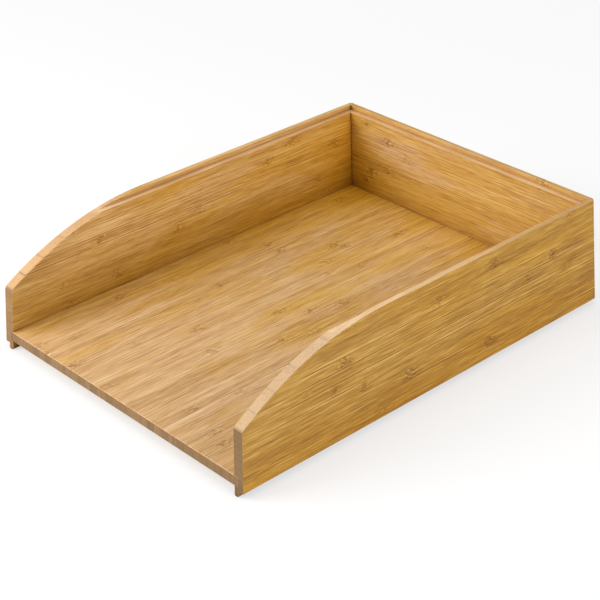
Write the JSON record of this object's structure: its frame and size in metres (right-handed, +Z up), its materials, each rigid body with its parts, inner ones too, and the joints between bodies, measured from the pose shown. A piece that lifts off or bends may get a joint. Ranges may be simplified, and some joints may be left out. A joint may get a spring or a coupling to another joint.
{
  "type": "letter tray",
  "caption": "Stackable open-front bamboo letter tray with curved side panels, a stepped rim and a matching tongue under the walls.",
  "frame": {"origin": "centre of the tray's footprint, on the desk surface that the tongues rest on", "axes": "+X to the right seen from the open front, +Y from the open front to the back panel, +Z up"},
  "size_m": [0.254, 0.34, 0.0765],
  "materials": {
    "bamboo": "satin"
  },
  "bodies": {
    "root": {"base_panel": "bamboo", "left_side_panel": "bamboo", "right_side_panel": "bamboo", "back_panel": "bamboo"}
  },
  "joints": []
}
